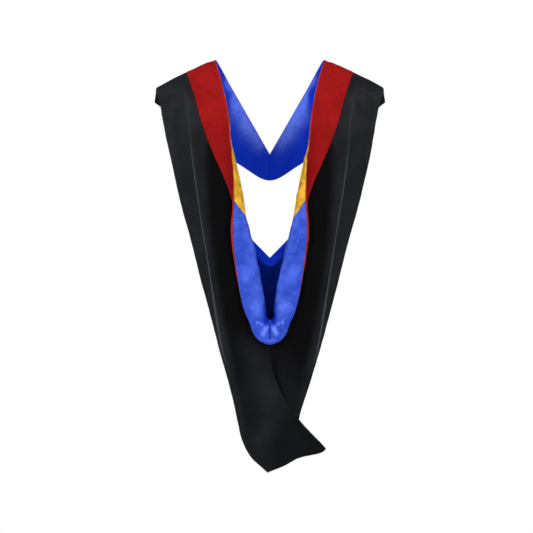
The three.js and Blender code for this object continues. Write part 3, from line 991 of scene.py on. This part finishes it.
def cotton_velvet():
    """Cut pile on a woven ground: a deep red, with painted shade below the shoulder blades and a paler painted
    highlight along the turned neck edge
    """
    material, add = new_material("cotton_velvet_cut_pile")
    place_at = add("TexCoord").outputs["Object"]
    pile = add("TexNoise", {
        "Vector": place_at, "Scale": 1 / (1.4 * MM), "Detail": 3, "Roughness": 0.6,
    })
    leaning = add("TexNoise", {
        "Vector": place_at, "Scale": 1 / (42 * MM), "Detail": 4, "Roughness": 0.55, "Distortion": 0.6,
    })
    leaning_share = add("MapRange", (leaning, 0.35, 0.65))
    # Painted shade: below the shoulder blades the velvet is darker
    height = add("SeparateXYZ", {0: place_at}).outputs["Z"]
    lower = add("MapRange", (height, -135 * MM, -185 * MM, 0, 0.5))
    tips = add("MapRange", (pile, 0.45, 0.8, 0, 0.5))
    # Painted highlight along the turned neck edge
    rolled = add("Attribute", attribute_name="rolled").outputs["Fac"]
    turned = add("Math", (rolled, 0.3), operation="MULTIPLY")
    colour = srgb("7A0D0D")
    for share, over in ((leaning_share, "881211"), (lower, "680707"), (tips, "951614"), (turned, "B8483F")):
        colour = add("Mix", {0: share, 6: colour, 7: srgb(over)}, data_type="RGBA")
    bump = add("Bump", {"Height": pile, "Strength": 0.35, "Distance": 0.5 * MM})
    shader = add("BsdfPrincipled", {
        "Base Color": colour, "Roughness": 0.92, "Specular IOR Level": 0.06, "Sheen Weight": 0.12,
        "Sheen Roughness": 0.35, "Sheen Tint": srgb("E8605C"), "Normal": bump,
    })
    add("OutputMaterial", {"Surface": shader})
    return material


def polyester_weave():
    """Matt black twill, woven: near black, with a cool painted sheen where painted light falls, painted shade
    by the lapel, and a painted highlight along the pressed line
    """
    material, add = new_material("woven_black_polyester")
    place_at = add("TexCoord").outputs
    # The real thread spacing is 0.4 mm; the twill is drawn at 1.3 mm so that it shows
    turned = add("Mapping", {"Vector": place_at["UV"], "Rotation": (0, 0, twill_slant)})
    twill = add("TexWave", {
        "Vector": turned, "Scale": wave_scale / (1.3 * MM), "Distortion": 1.2, "Detail": 2,
        "Detail Scale": 0.6,
    }, wave_type="BANDS", bands_direction="X").outputs["Fac"]
    slub = add("TexNoise", {"Vector": place_at["UV"], "Scale": 1 / (2.6 * MM), "Detail": 3})
    cloudy = add("TexNoise", {
        "Vector": place_at["Object"], "Scale": 1 / (70 * MM), "Detail": 5, "Roughness": 0.6,
    })
    painted_sheen = add("MapRange", (cloudy, 0.35, 0.68))
    # Painted light and shade: the cloud colour shows where the measure lays painted light, the near black
    # ground where it lays painted shade
    napped = add("Attribute", attribute_name="napped").outputs["Fac"]
    # A painted highlight along the pressed line
    pressed_nearness = add("Attribute", attribute_name="pressed").outputs["Fac"]
    edge = add("Math", (pressed_nearness, 3.0), operation="POWER")
    painted_crease_highlight = add("Math", (edge, 0.38), operation="MULTIPLY")
    cloud = add("Mix", {
        0: painted_sheen, 6: srgb("17191B"), 7: srgb("202226"),
    }, data_type="RGBA").outputs[2]
    colour = srgb("040405")
    for share, over in ((napped, cloud), (painted_crease_highlight, srgb("5C6068"))):
        colour = add("Mix", {0: share, 6: colour, 7: over}, data_type="RGBA")
    height = add("Math", (twill, slub), operation="ADD")
    bump = add("Bump", {"Height": height, "Strength": 0.22, "Distance": 0.35 * MM})
    shader = add("BsdfPrincipled", {
        "Base Color": colour, "Roughness": 0.68, "Specular IOR Level": 0.03, "Sheen Weight": 0.02,
        "Sheen Roughness": 0.45, "Sheen Tint": srgb("9AA4B8"), "Normal": bump,
    })
    add("OutputMaterial", {"Surface": shader})
    return material


def satin(name, patch, deep, clear, painted_highlight, dim, dark, painted_hollow_shade, gloss):
    """Warp satin, calendered: long floats that give a soft broad gloss; its cloudy light patches and glints
    are painted reflections, and the measures on the cloth lay a painted highlight and painted shade
    """
    material, add = new_material(name)
    place_at = add("TexCoord").outputs
    # Floats are 0.2 mm apart in the real cloth, and drawn at 0.9 mm
    drawn = add("TexWave", {
        "Vector": place_at["UV"], "Scale": wave_scale / (0.9 * MM), "Distortion": 1.5, "Detail": 2,
        "Detail Scale": 0.4,
    }, wave_type="BANDS", bands_direction="X").outputs["Fac"]
    patches = add("TexNoise", {
        "Vector": place_at["Object"], "Scale": 1 / patch, "Detail": 3, "Roughness": 0.5, "Distortion": 0.2,
    })
    crumple = add("TexNoise", {
        "Vector": place_at["Object"], "Scale": 1 / (11 * MM), "Detail": 3, "Roughness": 0.5,
    })
    # Painted reflections: cloudy lighter patches and glints
    cleared = add("MapRange", (patches, 0.36, 0.64))
    glints = add("MapRange", (crumple, 0.6, 0.85, 0, 0.3))
    broken = add("MapRange", (crumple, 0.3, 0.7, 0.7, 1.15))
    lit, hidden, sunk = [
        add("Attribute", attribute_name=measure).outputs["Fac"]
        for measure in ("lit", "shaded", "sunk")
    ]
    # Painted highlight where the lit measure is high
    painted_light_catch = add("Math", (lit, broken), operation="MULTIPLY", use_clamp=True)
    # Painted shade: the shaded measure darkens the satin through the dim and dark colours, the sunk measure
    # through the colour of the hollow
    half_hidden = add("MapRange", (hidden, 0, 0.5))
    fully_hidden = add("MapRange", (hidden, 0.5))
    layers = [
        (cleared, clear),
        (glints, painted_highlight),
        (painted_light_catch, painted_highlight),
        (half_hidden, dim),
        (fully_hidden, dark),
        (sunk, painted_hollow_shade),
    ]
    colour = srgb(deep)
    for share, over in layers:
        colour = add("Mix", {0: share, 6: colour, 7: srgb(over)}, data_type="RGBA")
    unlit = add("Math", (hidden, sunk), operation="MAXIMUM")
    dulled = add("MapRange", (unlit, 0, 0.6, 0.38, 0.8))
    shine = add("MapRange", (unlit, 0, 0.4, 0.45, 0.04))
    soft = add("Bump", {"Height": crumple, "Strength": 0.35, "Distance": 3 * MM})
    fine = add("Bump", {
        "Height": drawn, "Strength": 0.12, "Distance": 0.2 * MM, "Normal": soft,
    })
    shader = add("BsdfPrincipled", {
        "Base Color": colour, "Roughness": dulled, "Specular IOR Level": shine,
        "Specular Tint": srgb(gloss), "Anisotropic": 0.4, "Normal": fine,
    })
    add("OutputMaterial", {"Surface": shader})
    return material


def spun_thread(name, shade, light):
    """Spun polyester thread, twisted: a matt cord with slanting plies"""
    material, add = new_material(name)
    place_at = add("TexCoord").outputs["Object"]
    plies = add("TexNoise", {"Vector": place_at, "Scale": 1 / (0.5 * MM), "Detail": 2})
    bump = add("Bump", {"Height": plies, "Strength": 0.4, "Distance": 0.1 * MM})
    colour = add("Mix", {0: plies, 6: srgb(shade), 7: srgb(light)}, data_type="RGBA")
    shader = add("BsdfPrincipled", {
        "Base Color": colour, "Roughness": 0.7, "Specular IOR Level": 0.25, "Normal": bump,
    })
    add("OutputMaterial", {"Surface": shader})
    return material


wave_scale = 0.314  # scale of a wave texture whose bands lie one metre apart
twill_slant = math.radians(38)

velvet_red = cotton_velvet()
shell_black = polyester_weave()
# After the patch size: the ground, its lighter painted reflection, the painted highlight, the painted shade at
# half and at full, the painted shade in the gap, and the gloss tint
satin_blue = satin(
    "royal_blue_warp_satin", 30 * MM, "1E389E", "2C47AE", "6C88FF", "0F30BC", "01061F", "041B88", "90A8FF"
)
satin_gold = satin(
    "old_gold_warp_satin", 15 * MM, "9A7012", "C6981F", "E2BE52", "A07016", "2E1E04", "5C3E08", "FFD070"
)
threads = {
    "shell": spun_thread("black_spun_thread", "0E0F11", "222428"),
    "velvet": spun_thread("crimson_spun_thread", "7C1216", "A82428"),
    "lining": spun_thread("blue_spun_thread", "1B34A0", "3C5CDC"),
    "chevron": spun_thread("gold_spun_thread", "A88220", "E2B84C"),
}


def stitch_tree():
    """Geometry nodes that lay one stitch after another along a path"""
    tree = bpy.data.node_groups.new("row_of_stitches", "GeometryNodeTree")
    kinds = {"Geometry": ["Path"], "Float": ["Pitch", "Stitch", "Thread"], "Material": ["Finish"]}
    for kind, name in [(kind, name) for kind, names in kinds.items() for name in names]:
        tree.interface.new_socket(name, in_out="INPUT", socket_type="NodeSocket" + kind)
    tree.interface.new_socket("Stitches", in_out="OUTPUT", socket_type="NodeSocketGeometry")
    add = partial(add_node, tree)
    given = add("NodeGroupInput").outputs
    curve = add("GeometryNodeMeshToCurve", {"Mesh": given["Path"]})
    points = add("GeometryNodeCurveToPoints", {
        "Curve": curve, "Length": given["Pitch"],
    }, mode="LENGTH")
    turn = add("FunctionNodeAlignRotationToVector", {"Vector": points.outputs["Tangent"]}, axis="X")
    long, thick = [
        add("Math", (given[measure], 0.5), operation="MULTIPLY")
        for measure in ("Stitch", "Thread")
    ]
    size = add("CombineXYZ", {"X": long, "Y": thick, "Z": thick})
    ball = add("GeometryNodeMeshUVSphere", {"Segments": 8, "Rings": 4, "Radius": 1.0})
    placed = add("GeometryNodeInstanceOnPoints", {
        "Points": points, "Instance": ball, "Rotation": turn, "Scale": size,
    })
    real = add("GeometryNodeRealizeInstances", {"Geometry": placed})
    finished = add("GeometryNodeSetMaterial", {"Geometry": real, "Material": given["Finish"]})
    add("NodeGroupOutput", {0: finished})
    return tree


stitches = stitch_tree()


def path_on(side, measure, distance, rows, height):
    """A path on a panel at a set distance by one of its measures, lifted to the cloth's face"""
    grid = grids[side]
    first, last = rows
    path = []
    for i in np.flatnonzero((grid_rows >= first) & (grid_rows <= last)):
        ids = grid["ids"][i]
        known = np.flatnonzero(ids >= 0)
        along = grid[measure][i][known]
        if measure == "to_hem":
            known, along = known[::-1], along[::-1]
        after = max(1, int(np.argmax(along > distance)))
        spots = ids[known[[after - 1, after]]]
        share = (distance - along[after - 1]) / (along[after] - along[after - 1])
        lifted = cloth_points[spots] + cloth_normals[spots] * height
        path.append(mix(lifted[0], lifted[1], min(max(share, 0), 1)).tolist())
    return path


def stitched(name, path, material):
    """One row of stitches as a plain mesh"""
    mesh = bpy.data.meshes.new(name + "_path")
    mesh.from_pydata(path, [(i, i + 1) for i in range(len(path) - 1)], [])
    guide = new_object(name + "_path", mesh)
    modifier = guide.modifiers.new("stitches", "NODES")
    modifier.node_group = stitches
    values = {"Pitch": stitch_pitch, "Stitch": stitch_length, "Thread": thread_width, "Finish": material}
    for item in stitches.interface.items_tree:
        if item.in_out == "INPUT" and item.name in values:
            modifier[item.identifier] = values[item.name]
    bpy.context.view_layer.update()
    evaluated = guide.evaluated_get(bpy.context.evaluated_depsgraph_get())
    plain = bpy.data.meshes.new_from_object(evaluated)
    bpy.data.objects.remove(guide)
    plain.name = name
    plain.polygons.foreach_set("use_smooth", [True] * len(plain.polygons))
    return new_object(name, plain)


face = layer_gap / 2
velvet_top, shell_top, lining_face = face + velvet_wall, face + shell_wall, -face - lining_wall

def velvet_past_edge(row):
    return -np.interp(row, reach_rows, velvet_reach) * MM


def lining_in(row):
    return np.interp(row, reach_rows, lining_inset) * MM


# Every sheet: its slot, finish, heights above the panel, inset at the neck edge, flat cut and area
sheet_columns = "kind slot material low high inset width length area".split()
sheets = [
    ["velvet", "velvet", velvet_red, face, velvet_top, velvet_past_edge, 0.076, 1.07, 0.081],
    ["shell", "shell", shell_black, face, shell_top, lining_in, 0.36, 1.41, 0.235],
    ["neck_lining", "lining", satin_blue, lining_face, -face, lining_in, 0.23, 0.46, 0.06],
    ["chevron", "chevron", satin_gold, lining_face, -face, lining_in, 0.41, 0.33, 0.076],
    ["back_lining", "lining", satin_blue, lining_face, -face, lining_in, 0.44, 0.41, 0.14],
]


def chosen_faces(side, kind):
    _, row_at, column_at = faces[side]
    row = grid_rows[row_at]
    in_velvet = (row < LAPEL_END) & ((row < VELVET_START) | (column_at < SEAM_AT))
    return {
        "velvet": in_velvet,
        "shell": ~in_velvet,
        "neck_lining": row < chevron_top,
        "chevron": (row >= chevron_top) & (row < chevron_end),
        "back_lining": (row >= chevron_end) & (row < lining_end),
    }[kind]


# Rows of stitches: sheet, measure, distance, first and last row, height above the panel
stitch_rows = [
    ["shell", "to_hem", 7 * MM, (2.0, 9.0), shell_top + thread_lift],
    ["velvet", "from_edge", 5 * MM, (0.0, 4.6), velvet_top + thread_lift],
    ["neck_lining", "from_edge", 6 * MM, (0.02, 4.45), lining_face - thread_lift],
    ["chevron", "from_edge", 6 * MM, (4.55, 7.95), lining_face - thread_lift],
    ["back_lining", "from_edge", 6 * MM, (8.05, 11.95), lining_face - thread_lift],
    ["back_lining", "to_hem", facing_width - 2 * MM, (8.05, 11.9), lining_face - thread_lift],
]


def make_panel(side):
    pieces = {}
    for values in sheets:
        s = dict(zip(sheet_columns, values))
        name = f"{s['kind']}_{side}"
        chosen = chosen_faces(side, s["kind"])
        piece = cloth(f"cloth_{name}", side, chosen, s["low"], s["high"], s["inset"], s["material"])
        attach(piece, "root")
        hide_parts(name)
        pieces[s["kind"]] = [piece, s]
    sewn = {kind: [] for kind in pieces}
    for i, (kind, measure, distance, rows, height) in enumerate(stitch_rows):
        slot = pieces[kind][1]["slot"]
        path = path_on(side, measure, distance, rows, height)
        row = stitched(f"stitches_{kind}_{side}_{i}", path, threads[slot])
        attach(row, "root")
        sewn[kind].append(row)


for side in grids:
    make_panel(side)


def matt_floor():
    """Seamless background paper, matt and slightly fibrous"""
    material, add = new_material("matt_background_paper")
    place_at = add("TexCoord").outputs["Object"]
    fibres = add("TexNoise", {"Vector": place_at, "Scale": 30, "Detail": 4})
    colour = add("Mix", {
        0: fibres, 6: srgb("E4E4E2"), 7: srgb("EEEEEC"),
    }, data_type="RGBA")
    shader = add("BsdfPrincipled", {
        "Base Color": colour, "Roughness": 0.9, "Specular IOR Level": 0.2,
    })
    add("OutputMaterial", {"Surface": shader})
    return material


def make_floor():
    floor_radius, floor_level, corners = 2.4, -1.35, 128
    angles = np.arange(corners) / corners * 2 * math.pi
    rim = [(floor_radius * math.cos(a), floor_radius * math.sin(a), floor_level) for a in angles]
    mesh = bpy.data.meshes.new("paper_floor")
    mesh.from_pydata(rim, [], [list(range(corners))])
    mesh.materials.append(matt_floor())
    new_object("paper_floor", mesh)


make_floor()

# Soft studio light: name, place, what it faces, side length and power
lights = [
    ("left_edge", (-2.1, -0.2, 0.2), (0, -0.1, -0.45), 1.3, 14),
    ("right_edge", (2.1, -0.2, 0.2), (0, -0.1, -0.45), 1.3, 13),
    ("left_bank", (-1.9, -2.1, 0.4), (0, -0.1, -0.35), 1.1, 42),
    ("right_bank", (1.9, -2.1, 0.4), (0, -0.1, -0.35), 1.1, 38),
    ("overhead", (0, -3.1, 1.2), (0, -0.1, -0.4), 1.1, 34),
    ("fill_front", (0, 2.4, 0.6), (0, 0, -0.4), 1.6, 12),
]


def make_lights():
    for name, spot, aim, side_length, power in lights:
        lamp = bpy.data.lights.new(name, "AREA")
        lamp.energy = power
        lamp.size = side_length
        light = new_object(name, lamp)
        light.location = spot
        light.rotation_euler = (Vector(aim) - Vector(spot)).to_track_quat("-Z", "Y").to_euler()


make_lights()


def make_sky():
    """Even light from all round, white at the height of the horizon"""
    world = bpy.data.worlds.new("white_studio")
    world.use_nodes = True
    world.node_tree.nodes.clear()
    add = partial(add_node, world.node_tree)
    direction = add("TexCoord").outputs["Generated"]
    height = add("SeparateXYZ", {0: direction}).outputs["Z"]
    above = add("MapRange", (height, 0.07, 0.16))
    below = add("MapRange", (height, -0.07, -0.2))
    colour = srgb("FFFFFF")
    for share, over in ((above, "8A8A8C"), (below, "DCDCDB")):
        colour = add("Mix", {0: share, 6: colour, 7: srgb(over)}, data_type="RGBA")
    sky = add("Background", {"Color": colour, "Strength": 1.0})
    add("OutputWorld", {"Surface": sky})
    bpy.context.scene.world = world


make_sky()

# Camera straight behind the wearer, from far off with a long lens
view_width = 1.29
view_centre = (-0.0081, -0.1, -0.5038)
camera_distance = 12.0
sensor = 36.0


def make_camera():
    lens = bpy.data.cameras.new("camera")
    lens.sensor_width = sensor
    lens.lens = sensor * camera_distance / view_width
    camera = new_object("camera", lens)
    x, y, z = view_centre
    camera.location = (x, y - camera_distance, z)
    camera.rotation_euler = (math.radians(90), 0, 0)
    bpy.context.scene.camera = camera


make_camera()
bpy.context.scene.view_settings.view_transform = "Standard"
